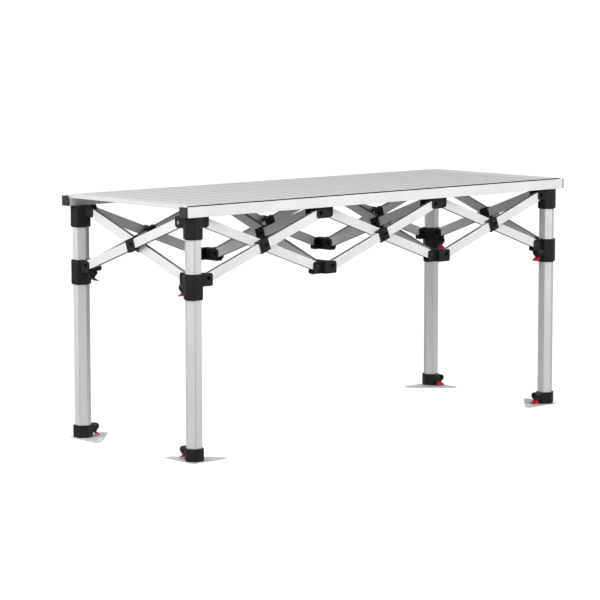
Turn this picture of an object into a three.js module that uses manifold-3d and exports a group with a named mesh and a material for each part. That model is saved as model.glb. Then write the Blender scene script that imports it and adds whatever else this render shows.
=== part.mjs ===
// A folding camp table: a concertina frame of crossed bars between four hexagonal legs, with a
// slatted top on two long rails. Millimetres, +Z up, X along the table, origin on the floor under
// the middle of the top. Each corner part is one design turned a quarter turn per corner, but for
// the sliders, of which two have one fork open on the inside.
import * as THREE from 'three';
import { mergeVertices } from 'three/addons/utils/BufferGeometryUtils.js';
import Module from 'manifold-3d';

const wasm = await Module();
wasm.setup();

// ---------------------------------------------------------------- driving dimensions
const SPAN = 434;             // level distance between the two pivots of one bar
const LEG_REACH = 44;         // leg axis to the pivot beside it
const HUB_REACH = 24;         // hub centre to its pivots along the table
const TOP_PIVOT_Z = 685;
const BOTTOM_PIVOT_Z = 526.5;
const FRAME_TOP_Z = 703;      // where the rails rest
const GAP = 0.3;              // clearance between neighbouring pieces

const LEG_APOTHEM = 21.65;    // centre to flat of the hexagonal leg tube
const TUBE_WALL = 2;
const SLEEVE_WALL = 4;        // plastic around the leg
const LEG_BOTTOM_Z = 12;
const LEG_TOP_Z = 699;

const BAR_HEIGHT = 28;
const BAR_THICKNESS = 13;
const BAR_WALL = 1.5;
const LAYER = 8;              // a bar's mid-plane to the plane of the leg axes
const PIN_RADIUS = 4;
const HOLE_RADIUS = 4.75;
const PIN_SIDES = 8;
const CURVE_STEPS = 4;
const CLIP_LENGTH = 36;       // connector around each bar where two bars cross
const CLIP_SHIFT = 5;         // outer connector's middle to the crossing pin
const CLIP_HEIGHT = 37;
const CLIP_COVER = 3;

const CHEEK = 3;              // wall of a fork beside the bar, with the pin set into it
const FORK_NOSE = 15;         // fork length beyond the pivot
const NOSE_CORNER = 9;        // rounding of the nose on the open side
const FORK_OPEN = 15;         // fork height on the open side of the pivot
const TOP_FORK_WEB = 18;      // pivot to the outside of the web that joins the cheeks
const BOTTOM_FORK_WEB = 22.5;
const LIP_HEIGHT = 14;        // long lip under an inner bar's lower end
const LIP_NOSE = 20;          // its length beyond the pivot
const HUB_CORE = 9;           // half length of a hub's middle block

const SLIDER_BOTTOM_Z = 467;
const SLIDER_TOP_Z = 541;
const SLIDER_LATCH_Z = 508;   // top of the slider's latch housing
const SLIDER_TAB_Z = 472;     // lower end of its lever
const CAP_BOTTOM_Z = 639;
const COLLAR_BOTTOM_Z = 3.5;
const COLLAR_TOP_Z = 41;
const COLLAR_TAB_Z = 5;

const HOUSING_WIDTH = 26;     // latch housing on the inner flat
const HOUSING_DEPTH = 27;
const HOUSING_HEIGHT = 24;
const LEVER_WIDTH = 15;
const LEVER_THICKNESS = 6;
const LEVER_PIN_RADIUS = 1.6;
const LEVER_EYE_RADIUS = 2;
const LEVER_SWING = 1.6;      // room behind the lever as it turns
const TAB_WIDTH = 22;         // the lever's red tab below the housing
const TAB_THICKNESS = 4;
const TAB_REACH = 4;          // tab's edge beyond the housing's front

const PLATE_THICKNESS = 3;
const PLATE_CORNER = 27;      // leg axis to the plate's outer edges
const PLATE_TIP = 98;         // leg axis to the plate's tips
const PLATE_BLUNT = 20;       // width of a tip
const FOOT_TUBE_TOP_Z = 230;
const STAKE_RADIUS = 3.5;

const RAIL_WIDTH = 33;
const RAIL_OUTSET = 13;       // rail's middle outside the leg axes
const RAIL_TOP_Z = 733.5;     // top of the outer lip
const RAIL_LEDGE_Z = 726.5;   // ledge that the slats lie on
const RAIL_LIP = 6;
const RAIL_OVERHANG = 47;     // rail end beyond the leg axis
const SLAT_TOP_Z = 736.5;
const SLAT_COUNT = 24;
const SLAT_SKIN = 1.6;
const SLAT_GAP = 2.4;         // visible joint between two slats
const SLAT_HINGE = 1.8;       // strip that joins two slats under the gap
const SLAT_INSET = 10;        // first slat to the rail's end

// ---------------------------------------------------------------- worked-out dimensions
const RISE = TOP_PIVOT_Z - BOTTOM_PIVOT_Z;
const PIVOT_LENGTH = Math.hypot(SPAN, RISE);
const SLOPE = Math.atan2(RISE, SPAN);
const HALF_WIDTH = SPAN / 2 + LEG_REACH;
const HUB_X = SPAN / 2 + HUB_REACH;
const RAIL_Y = HALF_WIDTH + RAIL_OUTSET;
const LEG_X = HUB_X + HUB_REACH + SPAN + LEG_REACH;
const SLEEVE_APOTHEM = LEG_APOTHEM + GAP + SLEEVE_WALL;
const FOOT_APOTHEM = LEG_APOTHEM - TUBE_WALL - 0.5;
const COLLAR_LATCH_Z = COLLAR_TOP_Z;
const LEVER_Y = SLEEVE_APOTHEM + HOUSING_DEPTH / 2 + 1;
const LEVER_PIVOT_DROP = 9;   // housing's top to the lever's pin
const QUARTER = Math.PI / 2;

// ---------------------------------------------------------------- materials
const aluminium = new THREE.MeshStandardMaterial({ color: '#c9ccd0', metalness: 0.9, roughness: 0.35 });
const blackPlastic = new THREE.MeshStandardMaterial({ color: '#26272a', metalness: 0, roughness: 0.55 });
const redPlastic = new THREE.MeshStandardMaterial({ color: '#b01c24', metalness: 0, roughness: 0.45 });
const zincSteel = new THREE.MeshStandardMaterial({ color: '#b4b6b8', metalness: 0.9, roughness: 0.45 });
const slatAluminium = new THREE.MeshStandardMaterial({ color: '#d3d4d4', metalness: 0.8, roughness: 0.5 });

// ---------------------------------------------------------------- solids
function solid(geometry) {
  const bare = geometry.clone();
  bare.deleteAttribute('normal');
  bare.deleteAttribute('uv');
  const merged = mergeVertices(bare, 1e-4);
  return new wasm.Manifold(new wasm.Mesh({
    numProp: 3,
    vertProperties: Float32Array.from(merged.attributes.position.array),
    triVerts: Uint32Array.from(merged.index.array),
  }));
}

function geometryOf(body) {
  const mesh = body.getMesh();
  const geometry = new THREE.BufferGeometry();
  geometry.setAttribute('position', new THREE.BufferAttribute(mesh.vertProperties, mesh.numProp));
  geometry.setIndex(new THREE.BufferAttribute(mesh.triVerts, 1));
  geometry.computeVertexNormals();
  return geometry;
}

function join(solids) {
  return solids.reduce((sum, piece) => sum.add(piece));
}

function cut(body, tools) {
  return tools.reduce((rest, tool) => rest.subtract(tool), body);
}

// A block from its two extreme corners.
function block([x0, y0, z0], [x1, y1, z1]) {
  const box = new THREE.BoxGeometry(x1 - x0, y1 - y0, z1 - z0);
  return solid(box.translate((x0 + x1) / 2, (y0 + y1) / 2, (z0 + z1) / 2));
}

// A round pin along Y, centred at x and z, from y0 to y1.
function pinAlongY(radius, x, z, y0, y1) {
  const pin = new THREE.CylinderGeometry(radius, radius, y1 - y0, PIN_SIDES);
  return solid(pin.translate(x, (y0 + y1) / 2, z));
}

function extrudeUp(shape, z0, z1) {
  const options = { depth: z1 - z0, bevelEnabled: false, curveSegments: CURVE_STEPS };
  return solid(new THREE.ExtrudeGeometry(shape, options).translate(0, 0, z0));
}

// An outline drawn in X and Z, extruded along Y from y0 to y1.
function extrudeAlongY(shape, y0, y1) {
  const options = { depth: y1 - y0, bevelEnabled: false, curveSegments: CURVE_STEPS };
  const geometry = new THREE.ExtrudeGeometry(shape, options);
  return solid(geometry.rotateX(QUARTER).translate(0, y1, 0));
}

// A hexagon with corners on the X axis and flats across Y.
function hexagon(apothem) {
  const radius = apothem / Math.cos(Math.PI / 6);
  const corners = Array.from({ length: 6 }, (_, i) => {
    const angle = (i * Math.PI) / 3;
    return new THREE.Vector2(radius * Math.cos(angle), radius * Math.sin(angle));
  });
  return new THREE.Shape(corners);
}

function hexTube(outer, inner, z0, z1) {
  const shape = hexagon(outer);
  shape.holes.push(hexagon(inner));
  return extrudeUp(shape, z0, z1);
}

function turned(body, quarterTurns) {
  return body.rotate([0, 0, 90 * quarterTurns]);
}

// ---------------------------------------------------------------- forks
// A block between two X limits, with its Y and Z limits in either order.
function slab(x0, x1, yA, yB, zA, zB) {
  return block(
    [x0, Math.min(yA, yB), Math.min(zA, zB)],
    [x1, Math.max(yA, yB), Math.max(zA, zB)],
  );
}

// A fork along +X that holds a bar's end between two cheeks joined by a web. side is +1 when the
// bar lies to the left of the fork's direction and -1 to the right. up is +1 when the web is on
// top. A fork for an inner bar at the bottom has a long lip, and where it is open, no inside cheek.
function fork({ reach, side, isTop, start, hasLip = false, isOpen = false }) {
  const up = isTop ? 1 : -1;
  const pivotZ = isTop ? TOP_PIVOT_Z : BOTTOM_PIVOT_Z;
  const half = BAR_THICKNESS / 2 + GAP;
  const middle = side * LAYER;
  const low = middle - half - CHEEK;
  const high = middle + half + CHEEK;
  const nose = reach + FORK_NOSE;
  const webZ = pivotZ + up * (isTop ? TOP_FORK_WEB : BOTTOM_FORK_WEB);
  const openZ = pivotZ - up * FORK_OPEN;

  const outline = new THREE.Shape();
  outline.moveTo(start, webZ);
  outline.lineTo(nose, webZ);
  outline.lineTo(nose, openZ + up * NOSE_CORNER);
  outline.quadraticCurveTo(nose, openZ, nose - NOSE_CORNER, openZ);
  outline.lineTo(start, openZ);
  let body = extrudeAlongY(outline, low, high);

  const slotStart = reach - BAR_HEIGHT / 2 - 1;
  const outer = middle + side * (half + CHEEK);
  if (isOpen) {
    const inner = middle + side * (half - 1);
    body = cut(body, [slab(slotStart, nose + 1, outer + side, inner, webZ - 2 * up, openZ - up)]);
  }
  if (hasLip) {
    const farWall = middle - side * (half - 1);
    const lip = slab(slotStart - 2, reach + LIP_NOSE, outer, farWall, webZ, webZ - up * LIP_HEIGHT);
    body = body.add(lip);
  }
  const slotFloor = pivotZ + up * (BAR_HEIGHT / 2 + 0.5);
  const slot = slab(slotStart, nose + LIP_NOSE, middle - half, middle + half, slotFloor, openZ - up);
  const pin = pinAlongY(PIN_RADIUS, reach, pivotZ, low + 1, high - 1);
  return join([cut(body, [slot]), pin]);
}

// ---------------------------------------------------------------- corner parts, front left as drawn
// The lever's round pin, or its eye, along X.
function leverPin(radius, length, z) {
  const pin = new THREE.CylinderGeometry(radius, radius, length, PIN_SIDES);
  return solid(pin.rotateZ(QUARTER).translate(0, LEVER_Y, z));
}

// A latch housing on the +Y flat with a slot for the lever, open in front and below.
function housing(topZ) {
  const bottomZ = topZ - HOUSING_HEIGHT;
  const front = SLEEVE_APOTHEM + HOUSING_DEPTH;
  const halfSlot = LEVER_WIDTH / 2 + GAP;
  const half = HOUSING_WIDTH / 2;
  const shell = block([-half, SLEEVE_APOTHEM - 1, bottomZ], [half, front, topZ]);
  const slot = block(
    [-halfSlot, LEVER_Y - LEVER_THICKNESS / 2 - LEVER_SWING, bottomZ - 1],
    [halfSlot, front + 1, topZ - 3],
  );
  const pin = leverPin(LEVER_PIN_RADIUS, HOUSING_WIDTH - 2, topZ - LEVER_PIVOT_DROP);
  return join([cut(shell, [slot]), pin]);
}

// The red lever that hangs in the housing: an eye on the housing's pin and a wide tab below it.
function lever(topZ, bottomZ) {
  const eyeZ = topZ - LEVER_PIVOT_DROP;
  const half = LEVER_WIDTH / 2;
  const back = LEVER_Y - LEVER_THICKNESS / 2;
  const front = LEVER_Y + LEVER_THICKNESS / 2;
  const body = block([-half, back, bottomZ], [half, front, eyeZ + 3]);
  const edge = SLEEVE_APOTHEM + HOUSING_DEPTH + TAB_REACH;
  const tab = block([-TAB_WIDTH / 2, back, bottomZ], [TAB_WIDTH / 2, edge, bottomZ + TAB_THICKNESS]);
  return cut(join([body, tab]), [leverPin(LEVER_EYE_RADIUS, LEVER_WIDTH + 2, eyeZ)]);
}

function sleeve(z0, z1) {
  return hexTube(SLEEVE_APOTHEM, LEG_APOTHEM + GAP, z0, z1);
}

function topCap() {
  const lid = extrudeUp(hexagon(SLEEVE_APOTHEM), LEG_TOP_Z + GAP, FRAME_TOP_Z);
  const bore = extrudeUp(hexagon(LEG_APOTHEM + GAP), CAP_BOTTOM_Z - 1, LEG_TOP_Z + GAP);
  const arm = fork({ reach: LEG_REACH, side: 1, isTop: true, start: SLEEVE_APOTHEM - 5 });
  const across = turned(arm, 1);
  return cut(join([sleeve(CAP_BOTTOM_Z, LEG_TOP_Z + 1), lid, arm, across]), [bore]);
}

// isOpen leaves out the inside cheek of the fork across the table.
function slider(isOpen) {
  const bore = extrudeUp(hexagon(LEG_APOTHEM + GAP), SLIDER_BOTTOM_Z - 1, SLIDER_TOP_Z + 1);
  const arm = { reach: LEG_REACH, side: -1, isTop: false, start: SLEEVE_APOTHEM - 5 };
  const along = fork(arm);
  const across = turned(fork({ ...arm, hasLip: true, isOpen }), 1);
  const latch = housing(SLIDER_LATCH_Z);
  return cut(join([sleeve(SLIDER_BOTTOM_Z, SLIDER_TOP_Z), along, across, latch]), [bore]);
}

function footCollar() {
  const bore = extrudeUp(hexagon(LEG_APOTHEM + GAP), LEG_BOTTOM_Z - GAP, COLLAR_TOP_Z + 1);
  const ring = hexTube(SLEEVE_APOTHEM, FOOT_APOTHEM + GAP, COLLAR_BOTTOM_Z, COLLAR_TOP_Z);
  return cut(join([ring, housing(COLLAR_LATCH_Z)]), [bore]);
}

// The telescoping foot: an inner hexagonal tube on a three-cornered plate with two stake holes.
function foot() {
  const tip = PLATE_TIP;
  const edge = -PLATE_CORNER;
  const outline = new THREE.Shape([
    new THREE.Vector2(edge, edge),
    new THREE.Vector2(tip, edge),
    new THREE.Vector2(tip, edge + PLATE_BLUNT),
    new THREE.Vector2(edge + PLATE_BLUNT, tip),
    new THREE.Vector2(edge, tip),
  ]);
  const holeAt = PLATE_TIP - 20;
  const holeIn = edge + 12;
  for (const [x, y] of [[holeAt, holeIn], [holeIn, holeAt]]) {
    const hole = new THREE.Path();
    hole.absarc(x, y, STAKE_RADIUS, 0, 2 * Math.PI, true);
    outline.holes.push(hole);
  }
  const plate = extrudeUp(outline, 0, PLATE_THICKNESS);
  const tube = hexTube(FOOT_APOTHEM, FOOT_APOTHEM - TUBE_WALL, PLATE_THICKNESS - 1, FOOT_TUBE_TOP_Z);
  return join([plate, tube]);
}

// ---------------------------------------------------------------- hubs
// A hub along the long side, front as drawn: a fork each way along the table and one across it.
function hub(isTop) {
  const side = isTop ? 1 : -1;
  const arm = { reach: HUB_REACH, side, isTop, start: -HUB_CORE };
  const right = fork(arm);
  const left = turned(fork({ ...arm, hasLip: !isTop, isOpen: !isTop }), 2);
  const across = turned(fork({ reach: LEG_REACH, side, isTop, start: 0 }), 1);
  return join([right, left, across]);
}

// ---------------------------------------------------------------- bars
// The plastic connector on one face of a bar, lapping its long edges; side is the face's Y sign.
function connector(side, middleX) {
  const thick = BAR_THICKNESS / 2;
  const x0 = middleX - CLIP_LENGTH / 2;
  const x1 = middleX + CLIP_LENGTH / 2;
  const outer = side * (thick + CLIP_COVER);
  const lap = -side * (thick + 0.5);
  const body = slab(x0, x1, outer, lap, -CLIP_HEIGHT / 2, CLIP_HEIGHT / 2);
  const channel = slab(x0 - 1, x1 + 1, side * thick, 2 * lap, -BAR_HEIGHT / 2, BAR_HEIGHT / 2);
  return cut(body, [channel]);
}

// A bar in its own frame: pivots on the X axis, thickness along Y, centred on its mid-plane. The
// outer bar of a crossing carries the crossing pin, towards +Y.
function bar(isOuter) {
  const half = PIVOT_LENGTH / 2;
  const radius = BAR_HEIGHT / 2;
  const thick = BAR_THICKNESS / 2;
  const outline = new THREE.Shape();
  outline.moveTo(-half, -radius);
  outline.lineTo(half, -radius);
  outline.absarc(half, 0, radius, -QUARTER, QUARTER, false);
  outline.lineTo(-half, radius);
  outline.absarc(-half, 0, radius, QUARTER, 3 * QUARTER, false);
  const shell = extrudeAlongY(outline, -thick, thick);
  const hollow = block(
    [-half - 6, -thick + BAR_WALL, -radius + BAR_WALL],
    [half + 6, thick - BAR_WALL, radius - BAR_WALL],
  );
  const side = isOuter ? -1 : 1;
  const ends = [-half, half].map((x) => pinAlongY(HOLE_RADIUS, x, 0, -thick - 1, thick + 1));
  const tube = cut(shell, [hollow, ...ends]).add(connector(side, isOuter ? -CLIP_SHIFT : 0));
  if (isOuter) {
    const far = 2 * LAYER + thick + CLIP_COVER - 1;
    return tube.add(pinAlongY(PIN_RADIUS, 0, 0, 1 - thick - CLIP_COVER, far));
  }
  return cut(tube, [pinAlongY(HOLE_RADIUS, 0, 0, -thick - 1, thick + CLIP_COVER + 1)]);
}

// ---------------------------------------------------------------- top
// A hollow rail with a ledge for the slats; the outer lip is at -Y.
function rail() {
  const half = RAIL_WIDTH / 2;
  const bottom = FRAME_TOP_Z + GAP;
  const outline = new THREE.Shape([
    new THREE.Vector2(-half, bottom),
    new THREE.Vector2(half, bottom),
    new THREE.Vector2(half, RAIL_LEDGE_Z),
    new THREE.Vector2(-half + RAIL_LIP, RAIL_LEDGE_Z),
    new THREE.Vector2(-half + RAIL_LIP, RAIL_TOP_Z),
    new THREE.Vector2(-half, RAIL_TOP_Z),
  ]);
  outline.holes.push(new THREE.Path([
    new THREE.Vector2(-half + TUBE_WALL, bottom + TUBE_WALL),
    new THREE.Vector2(-half + TUBE_WALL, RAIL_LEDGE_Z - TUBE_WALL),
    new THREE.Vector2(half - TUBE_WALL, RAIL_LEDGE_Z - TUBE_WALL),
    new THREE.Vector2(half - TUBE_WALL, bottom + TUBE_WALL),
  ]));
  const length = 2 * (LEG_X + RAIL_OVERHANG);
  const options = { depth: length, bevelEnabled: false };
  const geometry = new THREE.ExtrudeGeometry(outline, options);
  return solid(geometry.translate(0, 0, -length / 2).rotateX(QUARTER).rotateZ(QUARTER));
}

// The slats as one hinged sheet: channels across the table, joined by a thin strip under each gap.
function slatTop() {
  const half = LEG_X + RAIL_OVERHANG - SLAT_INSET;
  const pitch = (2 * half + SLAT_GAP) / SLAT_COUNT;
  const bottom = RAIL_LEDGE_Z + GAP;
  const outline = new THREE.Shape();
  outline.moveTo(-half, bottom);
  for (let i = 0; i < SLAT_COUNT; i += 1) {
    const x0 = -half + i * pitch;
    const x1 = x0 + pitch - SLAT_GAP;
    outline.lineTo(x0 + SLAT_SKIN, bottom);
    outline.lineTo(x0 + SLAT_SKIN, SLAT_TOP_Z - SLAT_SKIN);
    outline.lineTo(x1 - SLAT_SKIN, SLAT_TOP_Z - SLAT_SKIN);
    outline.lineTo(x1 - SLAT_SKIN, bottom);
  }
  outline.lineTo(half, bottom);
  for (let i = SLAT_COUNT - 1; i >= 0; i -= 1) {
    const x0 = -half + i * pitch;
    const x1 = x0 + pitch - SLAT_GAP;
    outline.lineTo(x1, SLAT_TOP_Z);
    outline.lineTo(x0, SLAT_TOP_Z);
    if (i > 0) {
      outline.lineTo(x0, bottom + SLAT_HINGE);
      outline.lineTo(x0 - SLAT_GAP, bottom + SLAT_HINGE);
    }
  }
  const end = RAIL_Y + RAIL_WIDTH / 2 - RAIL_LIP - 2;
  return extrudeAlongY(outline, -end, end);
}

// ---------------------------------------------------------------- assembly
const table = new THREE.Group();

function place(name, body, material, x, y, quarterTurns) {
  const mesh = new THREE.Mesh(geometryOf(body), material);
  mesh.name = name;
  mesh.position.set(x, y, 0);
  mesh.rotation.z = quarterTurns * QUARTER;
  table.add(mesh);
  return mesh;
}

const corners = [
  { name: 'front_left', x: -LEG_X, y: -HALF_WIDTH, turns: 0, isOpen: false },
  { name: 'front_right', x: LEG_X, y: -HALF_WIDTH, turns: 1, isOpen: true },
  { name: 'back_right', x: LEG_X, y: HALF_WIDTH, turns: 2, isOpen: false },
  { name: 'back_left', x: -LEG_X, y: HALF_WIDTH, turns: 3, isOpen: true },
];
for (const { name, x, y, turns, isOpen } of corners) {
  const inner = LEG_APOTHEM - TUBE_WALL;
  place(`leg_${name}`, hexTube(LEG_APOTHEM, inner, LEG_BOTTOM_Z, LEG_TOP_Z), aluminium, x, y, turns);
  place(`top_cap_${name}`, topCap(), blackPlastic, x, y, turns);
  place(`slider_${name}`, slider(isOpen), blackPlastic, x, y, turns);
  place(`slider_lever_${name}`, lever(SLIDER_LATCH_Z, SLIDER_TAB_Z), redPlastic, x, y, turns);
  place(`foot_collar_${name}`, footCollar(), blackPlastic, x, y, turns);
  place(`foot_lever_${name}`, lever(COLLAR_LATCH_Z, COLLAR_TAB_Z), redPlastic, x, y, turns);
  place(`foot_${name}`, foot(), zincSteel, x, y, turns);
}

const hubs = [
  { name: 'front_1', x: -HUB_X, y: -HALF_WIDTH, turns: 0 },
  { name: 'front_2', x: HUB_X, y: -HALF_WIDTH, turns: 0 },
  { name: 'back_1', x: -HUB_X, y: HALF_WIDTH, turns: 2 },
  { name: 'back_2', x: HUB_X, y: HALF_WIDTH, turns: 2 },
];
for (const { name, x, y, turns } of hubs) {
  place(`hub_top_${name}`, hub(true), blackPlastic, x, y, turns);
  place(`hub_bottom_${name}`, hub(false), blackPlastic, x, y, turns);
}

// Two crossed bars centred at (x, y). The outer one's lower end is at its own -X before turning.
function crossing(name, x, y, turns) {
  for (const [layer, rises] of [['outer', 1], ['inner', -1]]) {
    const mesh = new THREE.Mesh(geometryOf(bar(layer === 'outer')), aluminium);
    mesh.name = `bar_${name}_${layer}`;
    mesh.position.set(0, -rises * LAYER, (TOP_PIVOT_Z + BOTTOM_PIVOT_Z) / 2);
    mesh.rotation.y = -rises * SLOPE;
    const pair = new THREE.Group();
    pair.position.set(x, y, 0);
    pair.rotation.z = turns * QUARTER;
    pair.add(mesh);
    table.add(pair);
  }
}

const OUTER_CROSSING_X = HUB_X + HUB_REACH + SPAN / 2;
[-OUTER_CROSSING_X, 0, OUTER_CROSSING_X].forEach((x, i) => {
  crossing(`front_${i + 1}`, x, -HALF_WIDTH, 0);
  crossing(`back_${i + 1}`, x, HALF_WIDTH, 2);
});
crossing('left', -LEG_X, 0, 3);
crossing('middle_1', -HUB_X, 0, 3);
crossing('middle_2', HUB_X, 0, 1);
crossing('right', LEG_X, 0, 1);

place('rail_front', rail(), aluminium, 0, -RAIL_Y, 0);
place('rail_back', rail(), aluminium, 0, RAIL_Y, 2);
place('slat_top', slatTop(), slatAluminium, 0, 0, 0);

export default table;
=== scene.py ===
import math

import bmesh
import bpy
from mathutils import Matrix, Vector


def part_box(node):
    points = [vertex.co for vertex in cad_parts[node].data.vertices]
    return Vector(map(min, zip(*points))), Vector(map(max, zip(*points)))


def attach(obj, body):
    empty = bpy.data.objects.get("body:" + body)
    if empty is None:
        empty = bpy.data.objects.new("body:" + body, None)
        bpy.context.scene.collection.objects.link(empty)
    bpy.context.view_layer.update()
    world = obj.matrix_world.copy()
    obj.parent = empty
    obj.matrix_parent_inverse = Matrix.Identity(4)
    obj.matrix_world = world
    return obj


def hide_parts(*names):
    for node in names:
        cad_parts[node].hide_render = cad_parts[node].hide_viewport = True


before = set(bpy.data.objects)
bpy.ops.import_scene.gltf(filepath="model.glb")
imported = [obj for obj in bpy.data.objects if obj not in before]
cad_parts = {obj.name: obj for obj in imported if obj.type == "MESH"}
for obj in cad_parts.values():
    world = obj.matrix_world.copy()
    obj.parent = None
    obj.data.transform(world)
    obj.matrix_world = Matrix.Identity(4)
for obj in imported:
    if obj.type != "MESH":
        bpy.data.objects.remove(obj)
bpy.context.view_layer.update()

# ---------------------------------------------------------------- dimensions, millimetres
MM = 0.001
TOP_FORK_WEB = 18.0        # pivot to the web's outside, as the top forks are made
BOTTOM_FORK_WEB = 22.5
LEG_REACH = 44.0           # leg axis to the pivot beside it
HUB_REACH = 24.0           # hub centre to its pivots along the table
HUB_CORE = 9.0             # half length of a hub's middle block
FORK_NOSE = 15.0           # fork length beyond the pivot
FORK_OPEN = 15.0           # fork height on the open side of the pivot
NOSE_CORNER = 9.0          # rounding of the fork's nose on the open side
WEB_CORNER = 5.0           # the same on the web's side
CHEEK = 3.0                # wall of a fork beside the bar
LIP_HEIGHT = 14.0          # long lip under an inner bar's lower end
LIP_NOSE = 20.0            # its length beyond the pivot
LAYER = 8.0                # a bar's mid-plane to the plane of the leg axes
GAP = 0.3                  # clearance between neighbouring pieces
BAR_HEIGHT = 28.0
BAR_THICKNESS = 13.0
PIN_RADIUS = 4.0
HOLE_RADIUS = 4.75         # hole in a bar or its connector for a pin
SLEEVE_WALL = 4.0          # plastic around the leg
SLEEVE_ROOT = 5.0          # how deep a corner's forks start inside its sleeve
SLEEVE_RIM = 3.0           # rounding of a cap's or slider's lower edge
COLLAR_RIM = 1.2
FOOT_INSET = 2.5           # leg's flat to the flat of the foot's tube inside it
RECESS_RADIUS = 6.6        # round recess over each pivot bolt
RECESS_DEPTH = 2.4
SOCKET_RADIUS = 2.6        # hexagon socket in a bolt's head
NUT_RECESS = 8.0           # half width of the square recess on a lower inner bar's fork
NUT_SIZE = 9.4             # square nut in it
NUT_DEPTH = 2.2
RIVET_RADIUS = 4.7
RIVET_HOLE = 3.5
HOUSING_HEIGHT = 24.0      # latch housing on the inner flat
HOUSING_DEPTH = 27.0
HOUSING_CORNER = 5.0
LEVER_WIDTH = 15.0
LEVER_EYE = 3.0            # radius of the lever's eye
LEVER_PIVOT_DROP = 9.0     # housing's top to the lever's pin
TAB_WIDTH = 22.0           # red tab below the housing
TAB_REACH = 4.0            # its edge beyond the housing's front
CLIP_LENGTH = 36.0         # connector around each bar where two bars cross
CLIP_SHIFT = 5.0           # outer connector's middle to the crossing pin
CLIP_HEIGHT = 37.0
CLIP_COVER = 3.0
SPACER_RADIUS = 10.5       # boss between the two bars of a crossing
TUBE_WALL = 2.0
RAIL_WIDTH = 33.0
RAIL_LIP = 6.0             # width of the rail's outer lip
RAIL_LIP_HEIGHT = 7.0      # top of the lip above the ledge
END_CAP = 4.5              # plastic over each rail end
SLAT_COUNT = 24
SLAT_GAP = 2.4
SLAT_WALL = 1.5
SLAT_RIB = 11.0            # slat's middle to each rib under it
SLAT_FOOT = 5.0            # width of the inward foot along each lower edge
SLAT_PLUG = 3.0            # plastic plug in each slat end

CORNERS = ("front_left", "front_right", "back_right", "back_left")
OPEN_SLIDERS = ("front_right", "back_left")     # their fork across has no inside cheek
RIVETED_CAPS = ("front_left", "back_right")


def box_mm(node):
    lo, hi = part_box(node)
    return lo / MM, hi / MM


def middle_mm(node):
    lo, hi = box_mm(node)
    return (lo + hi) / 2


TOP_PIVOT = box_mm("top_cap_front_left")[1].z - TOP_FORK_WEB
BOTTOM_PIVOT = box_mm("hub_bottom_front_1")[0].z + BOTTOM_FORK_WEB
LEG = middle_mm("leg_front_right")
LEG_X, HALF_WIDTH = LEG.x, -LEG.y
LEG_APOTHEM = (box_mm("leg_front_left")[1].y - box_mm("leg_front_left")[0].y) / 2
BORE_APOTHEM = LEG_APOTHEM + GAP
SLEEVE_APOTHEM = LEG_APOTHEM + GAP + SLEEVE_WALL
FORK_HALF = BAR_THICKNESS / 2 + GAP             # half width of a fork's slot
FAR_FACE = LAYER + FORK_HALF + CHEEK            # a fork's faces, from the plane of the leg axes
NEAR_FACE = LAYER - FORK_HALF - CHEEK
LEVER_Y = SLEEVE_APOTHEM + HOUSING_DEPTH / 2 + 1
SLIDER_TAB, SLIDER_EYE = (corner.z for corner in box_mm("slider_lever_front_left"))
COLLAR_TAB, COLLAR_EYE = (corner.z for corner in box_mm("foot_lever_front_left"))
SLIDER_LATCH = SLIDER_EYE + LEVER_PIVOT_DROP - LEVER_EYE
COLLAR_LATCH = COLLAR_EYE + LEVER_PIVOT_DROP - LEVER_EYE
HUB_X = middle_mm("hub_top_front_2").x
SPAN = LEG_X - LEG_REACH - HUB_X - HUB_REACH
RISE = TOP_PIVOT - BOTTOM_PIVOT
SLOPE = math.atan2(RISE, SPAN)
PIVOT_LENGTH = math.hypot(SPAN, RISE)
CROSSING_Z = (TOP_PIVOT + BOTTOM_PIVOT) / 2

# ---------------------------------------------------------------- camera, in metres and degrees
CAMERA_PLACE = (-5.199, -5.614, 1.336)
CAMERA_YAW, CAMERA_PITCH, CAMERA_ROLL = 42.266, 7.126, -0.051
CAMERA_LENS = 148.3

# ---------------------------------------------------------------- stage and lights, in metres
FLOOR_RADIUS = 5.0
FLOOR_DROP = 0.0003        # floor below the feet, so that the two don't flicker
FLOOR_GREY = 0.12          # what the floor throws back at the object
FLOOR_GLOW = 0.20
BACKDROP_WHITE = 1.05      # what the camera sees behind the object
WORLD_FILL = 0.25          # what the object sees there
# Name, place, target, width, height and radiance of each soft box.
SOFT_BOXES = (
    ("light_left", (-3.0, 0.6, 2.3), (0, 0.3, 0.4), 4.4, 2.4, 4.6),
    ("light_front", (0.8, -3.0, 2.4), (0.3, 0, 0.4), 4.4, 2.4, 4.6),
    ("light_back", (2.6, 3.2, 1.1), (0, 0, 0.8), 5.0, 2.0, 0.5),
)


def turn(degrees, axis):
    return Matrix.Rotation(math.radians(degrees), 4, axis)


def make_camera():
    data = bpy.data.cameras.new("camera")
    data.lens = CAMERA_LENS
    data.sensor_width = 36.0
    data.clip_end = 200.0
    camera = bpy.data.objects.new("camera", data)
    bpy.context.scene.collection.objects.link(camera)
    camera.matrix_world = (
        Matrix.Translation(CAMERA_PLACE)
        @ turn(-CAMERA_YAW, "Z")
        @ turn(90 - CAMERA_PITCH, "X")
        @ turn(CAMERA_ROLL, "Z")
    )
    bpy.context.scene.camera = camera


make_camera()

# ---------------------------------------------------------------- materials


def new_material(name):
    material = bpy.data.materials.new(name)
    material.use_nodes = True
    nodes, links = material.node_tree.nodes, material.node_tree.links
    return material, nodes, links, nodes["Principled BSDF"]


def noise(nodes, links, vector, scale, detail=2.0, roughness=0.5):
    texture = nodes.new("ShaderNodeTexNoise")
    texture.inputs["Scale"].default_value = scale
    texture.inputs["Detail"].default_value = detail
    texture.inputs["Roughness"].default_value = roughness
    links.new(vector, texture.inputs["Vector"])
    return texture.outputs["Fac"]


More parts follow.
